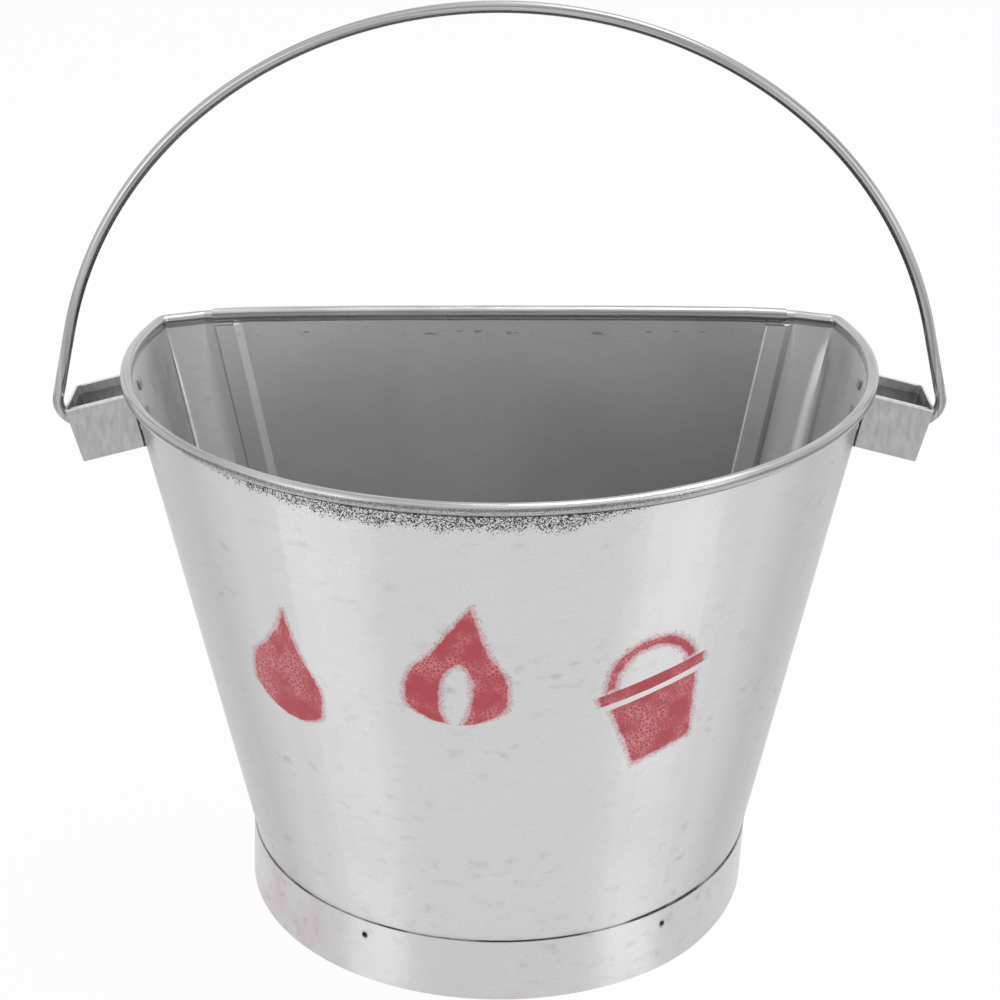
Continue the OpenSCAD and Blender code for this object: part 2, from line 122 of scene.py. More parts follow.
def add(tree, kind, inputs=(), **settings):
    """Adds a node. Its inputs are a dict of names, or a list in the order of the sockets. Each
    is a plain value, a node for its first output, or (node, output). A kind without the word
    Node in it, such as Math, is a shader node."""
    node = tree.nodes.new(kind if "Node" in kind else "ShaderNode" + kind)
    for name, value in settings.items():
        setattr(node, name, value)
    for key, source in inputs.items() if isinstance(inputs, dict) else enumerate(inputs):
        if isinstance(source, bpy.types.Node):
            source = (source, 0)
        if isinstance(source, tuple) and isinstance(source[0], bpy.types.Node):
            tree.links.new(source[0].outputs[source[1]], node.inputs[key])
        else:
            node.inputs[key].default_value = source
    return node


def ramp(low, high, first=0.0, last=1.0):
    """The inputs of a Map Range node: where its ramp starts and ends, and its values there."""
    return {"From Min": low, "From Max": high, "To Min": first, "To Max": last}


def new_material(name):
    """A node material with an empty tree."""
    material = bpy.data.materials.new(name)
    material.use_nodes = True
    material.node_tree.nodes.clear()
    return material, material.node_tree


print("a mid grey of #808080 is", round(linear("#808080")[0], 3), "in linear light")

# %% [markdown]
# ## Floor and backdrop
# Metal shows its surroundings more than itself, so the surroundings come first: a pale floor
# and a white room. To the camera and in reflections they are plain white. The bucket's own
# shadow still falls on the floor, because only a part of its colour is given off.

# %% Make the floor and the world
FLOOR_SIZE = 9.0
FLOOR_GLOW = 0.95
ROOM_LIGHT = 0.6


def white_surroundings(tree, own_shader, glow, share):
    """Mixes a white glow into a shader for camera, glossy and transmission rays."""
    path = add(tree, "LightPath")
    seen = add(tree, "Math", [(path, "Is Camera Ray"), (path, "Is Glossy Ray")],
               operation="MAXIMUM")
    seen = add(tree, "Math", [seen, (path, "Is Transmission Ray")], operation="MAXIMUM")
    amount = add(tree, "Math", [seen, share], operation="MULTIPLY")
    return add(tree, "MixShader", [amount, own_shader, glow])


floor_material, tree = new_material("pale_floor")
paint = add(tree, "BsdfDiffuse", {"Color": linear("#EDEDED")})
glow = add(tree, "Emission", {"Color": (1, 1, 1, 1), "Strength": 1.0})
add(tree, "OutputMaterial", {"Surface": white_surroundings(tree, paint, glow, FLOOR_GLOW)})

floor_mesh = bpy.data.meshes.new("floor")
half = FLOOR_SIZE / 2
floor_mesh.from_pydata([(-half, -half, 0), (half, -half, 0), (half, half, 0), (-half, half, 0)],
                       [], [(0, 1, 2, 3)])
floor = bpy.data.objects.new("floor", floor_mesh)
floor_mesh.materials.append(floor_material)
bpy.context.scene.collection.objects.link(floor)

world = bpy.data.worlds.new("white_room")
bpy.context.scene.world = world
world.use_nodes = True
world.node_tree.nodes.clear()
tree = world.node_tree
room = add(tree, "Background", {"Color": (1, 1, 1, 1), "Strength": ROOM_LIGHT})
bright = add(tree, "Background", {"Color": (1, 1, 1, 1), "Strength": 1.0})
add(tree, "OutputWorld", {"Surface": white_surroundings(tree, room, bright, 1.0)})
print("floor", FLOOR_SIZE, "m, world strength", ROOM_LIGHT)

# %% [markdown]
# ## Lamps
# The photograph shows two broad upright bands on the round front, each with a crisp edge
# towards the middle. They are the reflections of two tall soft boxes, one on each side. A band
# at an angle on a round wall comes from a lamp at twice that angle, so the boxes stand on a
# circle round the bucket, at twice the angles of the bands. A large one hangs overhead.

# %% Hang the lamps
BUCKET_MIDDLE = Vector((0.0, 0.0, 0.15))
LAMP_DISTANCE = 1.9


def soft_box(name, place, width, height, power):
    """An area lamp of width by height in metres, aimed at the bucket."""
    data = bpy.data.lights.new(name, "AREA")
    data.shape = "RECTANGLE"
    data.size, data.size_y, data.energy = width, height, power
    lamp = bpy.data.objects.new(name, data)
    lamp.location = place
    lamp.rotation_euler = (BUCKET_MIDDLE - Vector(place)).to_track_quat("-Z", "Y").to_euler()
    bpy.context.scene.collection.objects.link(lamp)
    return lamp


def beside(angle, height):
    """A place on the lamps' circle, at an angle in degrees from the camera's side."""
    turn = math.radians(angle)
    return (LAMP_DISTANCE * math.sin(turn), -LAMP_DISTANCE * math.cos(turn), height)


soft_box("left_box", beside(-53.5, 0.75), 0.95, 1.6, 6.4)
soft_box("right_box", beside(56, 0.75), 0.9, 1.6, 6.4)
soft_box("top_box", (0.6, 0.3, 2.1), 1.4, 1.2, 13.0)
bpy.context.scene.view_settings.view_transform = "Standard"

# %% [markdown]
# ## Where a point lies on the sheet
# The patterns on the sheet follow the sheet. So most of them are drawn on numbers that are
# worked out from the Object coordinates: the angle round the cone's axis, the distance round
# it in millimetres, and the height. One more number tells the outside from the inside.

# %% Sheet coordinates as nodes
MARK_RADIUS = 131.0  # the cone's radius at about half its height
CORE_Y = AXIS_Y - 20.0  # an upright line well inside the bucket


def sheet_coordinates(tree, flat=False):
    """The place in mm, the height, the sheet laid out flat, and 1 on the outside."""
    place = add(tree, "TexCoord")
    in_mm = add(tree, "VectorMath", {0: (place, "Object"), "Scale": 1 / MM}, operation="SCALE")
    xyz = add(tree, "SeparateXYZ", [in_mm])
    forward = add(tree, "Math", [AXIS_Y, (xyz, "Y")], operation="SUBTRACT")
    angle = add(tree, "Math", [(xyz, "X"), forward], operation="ARCTAN2")
    along = add(tree, "Math", [angle, MARK_RADIUS], operation="MULTIPLY")
    unrolled = add(tree, "CombineXYZ", {"X": along, "Y": (xyz, "Z")})
    radial = add(tree, "VectorMath", [in_mm, (0, CORE_Y, 0)], operation="SUBTRACT")
    skin = add(tree, "NewGeometry")
    facing = add(tree, "VectorMath", [radial, (skin, "Normal")], operation="DOT_PRODUCT")
    outside = add(tree, "Math", [(facing, "Value"), 0.0], operation="GREATER_THAN")
    return {"mm": in_mm, "xyz": xyz, "height": (xyz, "Z"), "along": along,
            "unrolled": in_mm if flat else unrolled, "outside": outside}


print("the sheet is unrolled on a radius of", MARK_RADIUS, "mm")

# %% [markdown]
# ## Galvanised sheet
# The body is mild steel sheet with a rolled zinc coat. Zinc is a bluish grey metal, and its
# skin is satin. The rolls leave fine lines in one direction, so a highlight is drawn out across
# them: on this bucket it runs up and down the wall. That is anisotropy, with its tangent along
# the height. The coat has faint clouds a few centimetres across, small flat flecks where the
# zinc was rubbed, and a grain of about half a millimetre.

# %% The zinc's tone, gloss and relief
NOISE_SPAN = (0.3, 0.7)  # a noise seldom leaves this range


def patches(tree, place, size, detail):
    """Soft random patches, size mm wide. size is one number, or one for each axis."""
    sizes = size if isinstance(size, tuple) else (size, size, size)
    scaled = add(tree, "Mapping", {"Vector": place, "Scale": [1 / s for s in sizes]})
    return add(tree, "TexNoise", {"Vector": scaled, "Scale": 1.0, "Detail": detail})


def zinc_tone(tree, at, fleck_share):
    """How light each spot of the zinc is, 1 on average, and where the rubbed flecks are."""
    clouds = patches(tree, at["mm"], 55, 4.0)
    grain = patches(tree, at["mm"], 0.6, 2.0)
    lines = patches(tree, at["unrolled"], (14, 0.8, 1), 3.0)
    spots = patches(tree, at["unrolled"], (8, 5, 1), 2.0)
    places = patches(tree, at["mm"], 38, 1.0)
    spot = add(tree, "MapRange", {"Value": spots, **ramp(0.56, 0.78)})
    patch = add(tree, "MapRange", {"Value": places, **ramp(0.42, 0.6, 0.0, fleck_share)})
    fleck = add(tree, "Math", [spot, patch], operation="MULTIPLY")
    tone = add(tree, "MapRange", {"Value": fleck, "To Min": 1.0, "To Max": 0.86})
    for pattern, depth in ((clouds, 0.035), (grain, 0.05), (lines, 0.02)):
        share = add(tree, "MapRange", {"Value": pattern, **ramp(*NOISE_SPAN, 1 - depth, 1 + depth)})
        tone = add(tree, "Math", [tone, share], operation="MULTIPLY")
    return tone, fleck, clouds, grain


def zinc_skin(tree, at, colour, roughness, stretch=0.0, fleck_share=1.0, wave=0.25):
    """The zinc's shader and its colour. wave is how far, in mm, the sheet bellies in and out."""
    tone, fleck, clouds, grain = zinc_tone(tree, at, fleck_share)
    tint = add(tree, "VectorMath", {0: linear(colour)[:3], "Scale": tone}, operation="SCALE")
    rough = add(tree, "MapRange", {"Value": clouds,
                                   **ramp(*NOISE_SPAN, roughness - 0.03, roughness + 0.03)})
    rough = add(tree, "Math", [fleck, 0.1, rough], operation="MULTIPLY_ADD")
    waves = patches(tree, at["mm"], 60, 1.0)
    height = add(tree, "Math", [waves, wave], operation="MULTIPLY")
    height = add(tree, "Math", [grain, 0.004, height], operation="MULTIPLY_ADD")
    relief = add(tree, "Bump", {"Height": height, "Strength": 1.0, "Distance": MM})
    upright = add(tree, "CombineXYZ", {"Z": 1.0})
    metal = add(tree, "BsdfPrincipled", {"Base Color": tint, "Metallic": 1.0, "Roughness": rough,
                                         "Anisotropic": stretch, "Normal": relief,
                                         "Tangent": upright})
    return {"shader": metal, "tint": tint}


def shaded(tree, skin, shades):
    """The zinc's shader, with its colour made lighter or darker by each of the shades."""
    tint = skin["tint"]
    for shade in shades:
        tint = add(tree, "VectorMath", {0: tint, "Scale": shade}, operation="SCALE")
    tree.links.new(tint.outputs[0], skin["shader"].inputs["Base Color"])
    return skin["shader"]


def sheet_material(name, recipe, flat=False, **choices):
    """A material whose surface is what a recipe makes of the sheet's coordinates."""
    material, tree = new_material(name)
    surface = recipe(tree, sheet_coordinates(tree, flat), **choices)
    add(tree, "OutputMaterial", {"Surface": surface})
    return material


def bottom_sheet(tree, at):
    """The bottom plate: dull flat sheet with nothing but its flecks and lines."""
    return zinc_skin(tree, at, "#ACACAC", 0.4)["shader"]


BOTTOM_ZINC = sheet_material("dull_galvanised_sheet", bottom_sheet, flat=True)
print("bottom sheet:", len(BOTTOM_ZINC.node_tree.nodes), "nodes")

# %% [markdown]
# ## Three stencilled marks
# Fire buckets are marked in red paint, sprayed through a stencil. This one gets three plain
# pictures: a drop, a flame and a bucket. Each is drawn by rules. For every height in a mark a
# curve gives how far the paint reaches to either side, and the distance to that edge then makes
# the crisp core, the soft overspray and its fine droplets. In this cell all lengths are shares
# of the mark's height.

# %% A mark as the distance to its edge
DROP = [(0, 0.0), (0.05, 0.2), (0.2, 0.34), (0.4, 0.32), (0.62, 0.17), (0.82, 0.06), (1, 0.0)]
FLAME = [(0, 0.0), (0.04, 0.19), (0.2, 0.36), (0.4, 0.34), (0.62, 0.19), (0.84, 0.08), (1, 0.0)]
HEART = [(0, 0.05), (0.12, 0.1), (0.3, 0.11), (0.5, 0.04), (0.56, -0.05), (1, -0.2)]
PAIL = [(0, 0.24), (0.54, 0.33), (0.545, -0.1), (0.585, -0.1), (0.59, 0.4), (0.68, 0.4),
        (0.685, -0.1), (1, -0.1)]
HANDLE_MIDDLE = (0, 0.17, 0)
HANDLE_RADIUS = 0.3
HANDLE_HALF_WIDTH = 0.036
HANDLE_FOOT = 0.2


def reach(tree, share, points):
    """The half-width of a mark, as a curve over the share of its height."""
    node = add(tree, "FloatCurve", {"Value": share})
    curve = node.mapping.curves[0]
    node.mapping.clip_min_y = -1.0
    while len(curve.points) < len(points):
        curve.points.new(0.5, 0.5)
    for point, place in zip(curve.points, points):
        point.location = place
        point.handle_type = "AUTO_CLAMPED" if points is not PAIL else "VECTOR"
    node.mapping.update()
    return node


def mark_frame(tree, at, where, turn, size):
    """A mark's own coordinates, 1 for its height, and the share of the height from its foot."""
    local = add(tree, "Mapping", {"Vector": at["unrolled"], "Location": (*where, 0),
                                  "Rotation": (0, 0, math.radians(turn)), "Scale": (size, size, 1)},
                vector_type="TEXTURE")
    uv = add(tree, "SeparateXYZ", [local])
    share = add(tree, "Math", [(uv, "Y"), 0.5], operation="ADD")
    return local, uv, share


def shape_edge(tree, uv, share, outline, lean, heart=None):
    """How far inside an outline a point lies, as a share of the mark's height."""
    rise = add(tree, "Math", [share, share], operation="MULTIPLY")
    centre = add(tree, "Math", [rise, lean], operation="MULTIPLY")
    aside = add(tree, "Math", [(uv, "X"), centre], operation="SUBTRACT")
    aside = add(tree, "Math", [aside], operation="ABSOLUTE")
    edge = reach(tree, share, outline)
    inside = add(tree, "Math", [edge, aside], operation="SUBTRACT")
    below_top = add(tree, "Math", [1.0, share], operation="SUBTRACT")
    end = add(tree, "Math", [share, below_top], operation="MINIMUM")
    inside = add(tree, "Math", [inside, end], operation="MINIMUM")
    if heart:
        hollow = reach(tree, share, heart)
        gap = add(tree, "Math", [aside, hollow], operation="SUBTRACT")
        inside = add(tree, "Math", [inside, gap], operation="MINIMUM")
    return inside


def handle_edge(tree, local, uv, inside):
    """Adds a half-ring over the top of a pail's outline."""
    off_ring = add(tree, "VectorMath", [local, HANDLE_MIDDLE], operation="DISTANCE")
    off_ring = add(tree, "Math", [(off_ring, "Value"), HANDLE_RADIUS], operation="SUBTRACT")
    off_ring = add(tree, "Math", [off_ring], operation="ABSOLUTE")
    ring = add(tree, "Math", [HANDLE_HALF_WIDTH, off_ring], operation="SUBTRACT")
    above = add(tree, "Math", [(uv, "Y"), HANDLE_FOOT], operation="SUBTRACT")
    ring = add(tree, "Math", [ring, above], operation="MINIMUM")
    return add(tree, "Math", [inside, ring], operation="MAXIMUM")


print("marks: drop, flame and bucket")

# %% [markdown]
# ## Paint that went through a stencil
# Paint through a stencil has a firm middle and a soft edge, where it crept under the stencil
# and fell as droplets. The middle has dried with a net of fine cracks that shows a paler red.

# %% Spray the marks and lay them together
MARKS = [("drop", (-86.0, 149.0), -14.0, 52.0), ("flame", (-16.0, 163.0), -2.0, 54.0),
         ("pail", (61.0, 142.0), 14.0, 56.0)]
EDGE_WOBBLE = 1.3
OVERSPRAY = 5.0
DROPLET = 0.55
CRACK_NET = 1.5


def all_marks(tree, at):
    """The distance in mm inwards to the nearest painted edge, below 0 outside the marks."""
    nearest = None
    for kind, where, turn, size in MARKS:
        local, uv, share = mark_frame(tree, at, where, turn, size)
        if kind == "drop":
            inside = shape_edge(tree, uv, share, DROP, -0.06)
        elif kind == "flame":
            inside = shape_edge(tree, uv, share, FLAME, 0.1, HEART)
        else:
            inside = handle_edge(tree, local, uv, shape_edge(tree, uv, share, PAIL, 0.0))
        inside = add(tree, "Math", [inside, size], operation="MULTIPLY")
        if nearest:
            inside = add(tree, "Math", [nearest, inside], operation="MAXIMUM")
        nearest = inside
    return nearest


def sprayed(tree, at, distance):
    """How thickly the paint lies, from 0 to 1: the firm middle, its soft edge and the droplets."""
    wobble = add(tree, "MapRange", {"Value": patches(tree, at["mm"], 2.6, 3.0),
                                    "To Min": -EDGE_WOBBLE, "To Max": EDGE_WOBBLE})
    ragged = add(tree, "Math", [distance, wobble], operation="ADD")
    core = add(tree, "MapRange", {"Value": ragged, **ramp(-0.6, 1.0)},
               interpolation_type="SMOOTHSTEP")
    mist = add(tree, "MapRange", {"Value": ragged, **ramp(-OVERSPRAY, 0.3, 0.0, 0.62)},
               interpolation_type="SMOOTHSTEP")
    droplets = patches(tree, at["mm"], DROPLET, 1.0)
    dots = add(tree, "Math", [mist, droplets], operation="GREATER_THAN")
    dots = add(tree, "Math", [dots, 0.5], operation="MULTIPLY")
    thickness = add(tree, "Math", [core, dots], operation="MAXIMUM")
    return add(tree, "Math", [thickness, at["outside"]], operation="MULTIPLY")


def red_paint(tree, at):
    """Dried red paint with a net of paler cracks."""
    cells = add(tree, "TexVoronoi", {"Vector": at["mm"], "Scale": 1 / CRACK_NET},
                feature="DISTANCE_TO_EDGE")
    crack = add(tree, "MapRange", {"Value": cells, **ramp(0.02, 0.16, 1.0, 0.0)})
    where = add(tree, "MapRange", {"Value": patches(tree, at["mm"], 12, 2.0), **ramp(0.42, 0.6)})
    crack = add(tree, "Math", [crack, where], operation="MULTIPLY")
    colour = add(tree, "Mix", {"Factor": crack, "A": linear("#B5444E"), "B": linear("#D68C90")},
                 data_type="RGBA")
    return add(tree, "BsdfPrincipled", {"Base Color": (colour, "Result"), "Roughness": 0.5})


print("marks at", [(kind, where) for kind, where, _, _ in MARKS])

# %% [markdown]
# ## The etched band
# Under the rolled edge the coat is etched by years of damp and wear: a band of dark pinholes, a
# few millimetres tall, that frays out downwards, thins to the left and ends on the right. Real
# pinholes are finer than a picture of the whole bucket can show, so these are drawn as coarse
# as they have to be to show as a grain.

# %% Draw the pinholes
ETCH_TOP = RIM_Z + 1.0
ETCH_HEIGHT = 11.0
ETCH_SIDES = (-114.0, 70.0)  # where it ends on the left and on the right, along the sheet
ETCH_FADES = (56.0, 50.0)  # how far inwards it is lower than in the middle
PINHOLE = 0.42


def etched_band(tree, at):
    """Dark pinholes from the rolled edge's lower half downwards, from 0 to 1."""
    tall = add(tree, "MapRange", {"Value": patches(tree, at["unrolled"], (6, 30, 1), 4.0),
                                  "To Min": ETCH_HEIGHT * 0.6, "To Max": ETCH_HEIGHT * 1.4})
    left = add(tree, "MapRange", {"Value": at["along"],
                                  **ramp(ETCH_SIDES[0], ETCH_SIDES[0] + ETCH_FADES[0], 0.32)})
    right = add(tree, "MapRange", {"Value": at["along"],
                                   **ramp(ETCH_SIDES[1], ETCH_SIDES[1] - ETCH_FADES[1])})
    start = add(tree, "Math", [at["along"], ETCH_SIDES[0]], operation="GREATER_THAN")
    for share in (left, right, start):
        tall = add(tree, "Math", [tall, share], operation="MULTIPLY")
    depth = add(tree, "Math", [ETCH_TOP, at["height"]], operation="SUBTRACT")
    left_over = add(tree, "Math", [tall, depth], operation="SUBTRACT")
    density = add(tree, "MapRange", {"Value": left_over, **ramp(-2.0, 2.0, 0.0, 0.54)})
    holes = add(tree, "TexVoronoi", {"Vector": at["mm"], "Scale": 1 / PINHOLE})
    bite = add(tree, "Math", [density, (holes, "Color")], operation="SUBTRACT")
    dark = add(tree, "MapRange", {"Value": bite, **ramp(-0.02, 0.1)})
    below = add(tree, "Math", [depth, 0.0], operation="GREATER_THAN")
    dark = add(tree, "Math", [dark, below], operation="MULTIPLY")
    return add(tree, "Math", [dark, at["outside"]], operation="MULTIPLY")


print("etched band:", ETCH_HEIGHT, "mm tall, from", *ETCH_SIDES, "mm along the sheet")

# %% [markdown]
# ## Painted shade and painted shadow lines
# The inside is darkened with painted shade, most of all in front and beyond the right corner.
# The outside gets painted shade near the lugs. Two thin lines of painted shadow lie under the
# rolled edge and on top of the foot's edge.

# %% Shades of the front sheet
CORNER_ALONG = 261.6  # the right back corner, along the sheet
# where the painted shade inside fades out, and where the painted shade outside grows
INSIDE_FRONT = (110.0, 180.0)  # where the dull front fades out, along the sheet
NEAR_LUGS = (96.0, 119.0)  # where the wall grows dull towards the lugs
LEDGE_THICKENS = (60.0, 90.0)  # where the line above the foot grows thick
GAP_ON_ROLL = (1.5, 2.1)  # depths below the wire's middle, on the rolled edge
GAP_ON_WALL = (3.6, 4.1)  # and on the wall under it


def inside_painted_shade(tree, at):
    """Painted shade on the inside: darkest in front, and beyond the right corner."""
    aside = add(tree, "Math", [at["along"]], operation="ABSOLUTE")
    front = add(tree, "MapRange", {"Value": aside, **ramp(*INSIDE_FRONT, 0.68, 0.98)})
    strip = add(tree, "MapRange", {"Value": at["along"],
                                   **ramp(CORNER_ALONG - 2, CORNER_ALONG + 2, 1.0, 0.56)})
    return add(tree, "Math", [front, strip], operation="MULTIPLY")


def outside_painted_shade(tree, at):
    """Painted shade on the outside, growing towards the lugs."""
    aside = add(tree, "Math", [at["along"]], operation="ABSOLUTE")
    return add(tree, "MapRange", {"Value": aside, **ramp(*NEAR_LUGS, 1.0, 0.8)})


def ledge_painted_shadow(tree, at):
    """A painted shadow in a hairline on the wall above the foot, thick on the right, and broken."""
    over = add(tree, "Math", [at["height"], float(foot_high[2])], operation="SUBTRACT")
    thick = add(tree, "MapRange", {"Value": at["along"], **ramp(*LEDGE_THICKENS, 0.55, 1.3)})
    left_over = add(tree, "Math", [over, thick], operation="SUBTRACT")
    broken = add(tree, "MapRange", {"Value": patches(tree, at["unrolled"], (34, 200, 1), 1.0),
                                    **ramp(0.46, 0.56, 0.12, 0.8)})
    return add(tree, "MapRange", {"Value": left_over, **ramp(-0.15, 0.15, broken)})


def roll_gap_painted_shadow(tree, at):
    """A painted shadow outside, where the rolled edge meets the wall, at depths below the wire."""
    below = add(tree, "Math", [RIM_Z, at["height"]], operation="SUBTRACT")
    on_roll = add(tree, "MapRange", {"Value": below, **ramp(*GAP_ON_ROLL, 1.0, 0.26)})
    on_wall = add(tree, "MapRange", {"Value": below, **ramp(*GAP_ON_WALL)})
    line = add(tree, "Math", [on_roll, on_wall], operation="MAXIMUM")
    inside = add(tree, "Math", [1.0, at["outside"]], operation="SUBTRACT")
    return add(tree, "Math", [line, inside], operation="MAXIMUM")


print("the right back corner is", CORNER_ALONG, "mm along the sheet")

# %% [markdown]
# ## The front sheet
# All of this comes together on the front sheet: its zinc, the painted shade and shadows that lie
# over it, and the red paint on top of both.

# %% The front sheet's material
def front_sheet(tree, at):
    """Rolled zinc, so its highlights stand upright, with the etched band and the red marks."""
    skin = zinc_skin(tree, at, "#D7D7D8", 0.32, 1.0)
    # painted shade: on the inside, and on the outside near the lugs
    side = add(tree, "MapRange", {"Value": at["outside"], "To Max": outside_painted_shade(tree, at),
                                  "To Min": inside_painted_shade(tree, at)})
    etch = add(tree, "MapRange", {"Value": etched_band(tree, at), "To Min": 1.0, "To Max": 0.1})
    # painted shadows above the foot and under the rolled edge
    zinc = shaded(tree, skin, [side, etch, ledge_painted_shadow(tree, at), roll_gap_painted_shadow(tree, at)])
    amount = sprayed(tree, at, all_marks(tree, at))
    return add(tree, "MixShader", [amount, zinc, red_paint(tree, at)])


FRONT_ZINC = sheet_material("front_galvanised_sheet", front_sheet)
print("front sheet:", len(FRONT_ZINC.node_tree.nodes), "nodes")

# %% [markdown]
# ## The rolled edges
# A rolled edge is worked over its wire by a tool that slides along it, which polishes it and
# draws fine lines along it. A line of painted shade runs along it: half way down the outside in
# front, and on top at the back.

# %% Materials of the rolled edges
def rolled_edge(tree, at, grimy_at, grimy_share, inside_share):
    """A rolled edge drawn into fine lines, with a line of painted shade at a height above the wire.
    """
    skin = zinc_skin(tree, at, "#BCBCBC", 0.26, 0.0, 0.5, 0.0)
    line = add(tree, "MapRange", {"Value": patches(tree, at["unrolled"], (45, 0.5, 1), 3.0),
                                  **ramp(0.35, 0.65, 0.74, 1.12)})
    # a line of painted shade at a height above the wire
    off_line = add(tree, "Math", [at["height"], RIM_Z + grimy_at], operation="SUBTRACT")
    off_line = add(tree, "Math", [off_line], operation="ABSOLUTE")
    darkest = add(tree, "MapRange", {"Value": at["outside"], "To Min": inside_share,
                                     "To Max": grimy_share})
    shade_line = add(tree, "MapRange", {"Value": off_line, **ramp(0.2, 0.9, darkest)})
    etch = add(tree, "MapRange", {"Value": etched_band(tree, at), "To Min": 1.0, "To Max": 0.6})
    return shaded(tree, skin, [line, shade_line, etch, roll_gap_painted_shadow(tree, at)])


# the painted shade line: its height above the wire, and its darkest share outside and inside
FRONT_ROLL = sheet_material("beaded_galvanised_edge", rolled_edge, grimy_at=0.5,
                            grimy_share=0.52, inside_share=0.9)
BACK_ROLL = sheet_material("shaded_galvanised_edge", rolled_edge, grimy_at=1.2,
                           grimy_share=0.4, inside_share=0.4)
print("rolled edges:", FRONT_ROLL.name, "and", BACK_ROLL.name)

# %% [markdown]
# ## The flat back
# The back was folded from the same sheet but never polished by handling, so it is flatter in
# tone. Its left side is lightened with painted light and its folds are darkened with painted
# shade, and a row of short dark marks under the rolled edge shows where the tongs pinched it.

# %% The flat back's material
PINCH_Z = (223.6, 225.4)
PAINTED_LIGHT_X = (-85.0, -45.0)


def pinch_marks(tree, at):
    """The row of short dark marks, as a shade."""
    pinch = patches(tree, at["mm"], (6, 60, 2.4), 1.0)
    pinch = add(tree, "MapRange", {"Value": pinch, **ramp(0.6, 0.68)})
    for height, side in zip(PINCH_Z, ("GREATER_THAN", "LESS_THAN")):
        within = add(tree, "Math", [at["height"], height], operation=side)
        pinch = add(tree, "Math", [pinch, within], operation="MULTIPLY")
    return add(tree, "MapRange", {"Value": pinch, "To Min": 1.0, "To Max": 0.6})


def back_sheet(tree, at):
    """Rolled zinc: painted light at left, painted shade in folds, pinched under the rolled edge."""
    skin = zinc_skin(tree, at, "#C8C8C8", 0.4, 0.5, 0.5)
    # painted shade on the folds' slopes, by which way they face
    facing = add(tree, "SeparateXYZ", [(add(tree, "NewGeometry"), "Normal")])
    slope = add(tree, "Math", [(facing, "X")], operation="ABSOLUTE")
    fold_painted_shade = add(tree, "MapRange", {"Value": slope, **ramp(0.1, 0.3, 1.0, 0.78)})
    # painted light: the left side of the back is lighter
    side = add(tree, "MapRange", {"Value": (at["xyz"], "X"), **ramp(*PAINTED_LIGHT_X, 1.24, 0.98)})
    return shaded(tree, skin, [side, pinch_marks(tree, at), fold_painted_shade])


BACK_ZINC = sheet_material("rolled_galvanised_back", back_sheet, flat=True)
print("back sheet:", len(BACK_ZINC.node_tree.nodes), "nodes")

# %% [markdown]
# ## The foot's hoop
# Overspray from the red marks drifted down and settled on the hoop as a faint pink dust, near
# the floor and on the left. Each punched dimple has a ring of painted shade round it.

# %% The foot's material
DIMPLES = [(-69.7, 20.0), (86.9, 20.0)]  # along the sheet, and the height
DIMPLE_RING = (1.5, 2.4)
DUST_LEFT = (-88.0, -104.0)
DUST_TOP = 5.0


def dimple_painted_shade(tree, at):
    """A ring of painted shade round each of the two punched dimples in front."""
    rings = [add(tree, "VectorMath", [at["unrolled"], (*place, 0)], operation="DISTANCE")
             for place in DIMPLES]
    near = add(tree, "Math", [(rings[0], "Value"), (rings[1], "Value")], operation="MINIMUM")
    return add(tree, "MapRange", {"Value": near, **ramp(*DIMPLE_RING, 0.6)})


def foot_hoop(tree, at):
    """Rolled zinc with pink dust, and rings of painted shade round its dimples."""
    skin = zinc_skin(tree, at, "#D2D2D3", 0.34, 1.0)
    cloud = add(tree, "MapRange", {"Value": patches(tree, at["mm"], 16, 3.0),
                                   **ramp(0.42, 0.66, 0.0, 0.32)})
    low = add(tree, "MapRange", {"Value": at["height"], **ramp(DUST_TOP, 0.0, 0.0, 0.6)})
    left = add(tree, "MapRange", {"Value": at["along"], **ramp(*DUST_LEFT)})
    where = add(tree, "Math", [low, left], operation="MAXIMUM")
    dust = add(tree, "Math", [cloud, where], operation="MULTIPLY")
    dusty = add(tree, "Mix", {"Factor": dust, "A": skin["tint"], "B": linear("#CDA2A4")},
                data_type="RGBA")
    skin["tint"] = (dusty, "Result")
    return shaded(tree, skin, [dimple_painted_shade(tree, at)])


FOOT_ZINC = sheet_material("rolled_galvanised_hoop", foot_hoop)
print("foot:", len(FOOT_ZINC.node_tree.nodes), "nodes")

# %% [markdown]
# ## The strap of the lugs
# The lugs are cut from dull strap, whose coat dried in upright streaks. Their hems get a painted
# highlight, and a painted shadow lies where they meet the wall.

# %% The strap's material
hinge = frame["joints"][0]
pivot = np.array(hinge["pos_m"]) / MM
LUG_DROOP = math.radians(14.8)
LUG_END_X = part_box("right_lug")[1][0] / MM - 2.6  # the end wall, level with the pivot
HEM_Z = 6.6  # the hem's lower edge, above the pivot
HEM_EDGE = (HEM_Z + 2.7, HEM_Z + 2.9)
SHADOW_OFF_WALL = 0.4


def turned(tree, across, up, angle):
    """Two distances turned by an angle: the first one's new value and the second one's."""
    cosine, sine = math.cos(angle), math.sin(angle)
    first = add(tree, "Math", [up, -sine], operation="MULTIPLY")
    first = add(tree, "Math", [across, cosine, first], operation="MULTIPLY_ADD")
    second = add(tree, "Math", [up, cosine], operation="MULTIPLY")
    second = add(tree, "Math", [across, sine, second], operation="MULTIPLY_ADD")
    return first, second


def above_pivot(tree, at):
    """The height above the bail's pivot."""
    return add(tree, "Math", [at["height"], float(pivot[2])], operation="SUBTRACT")


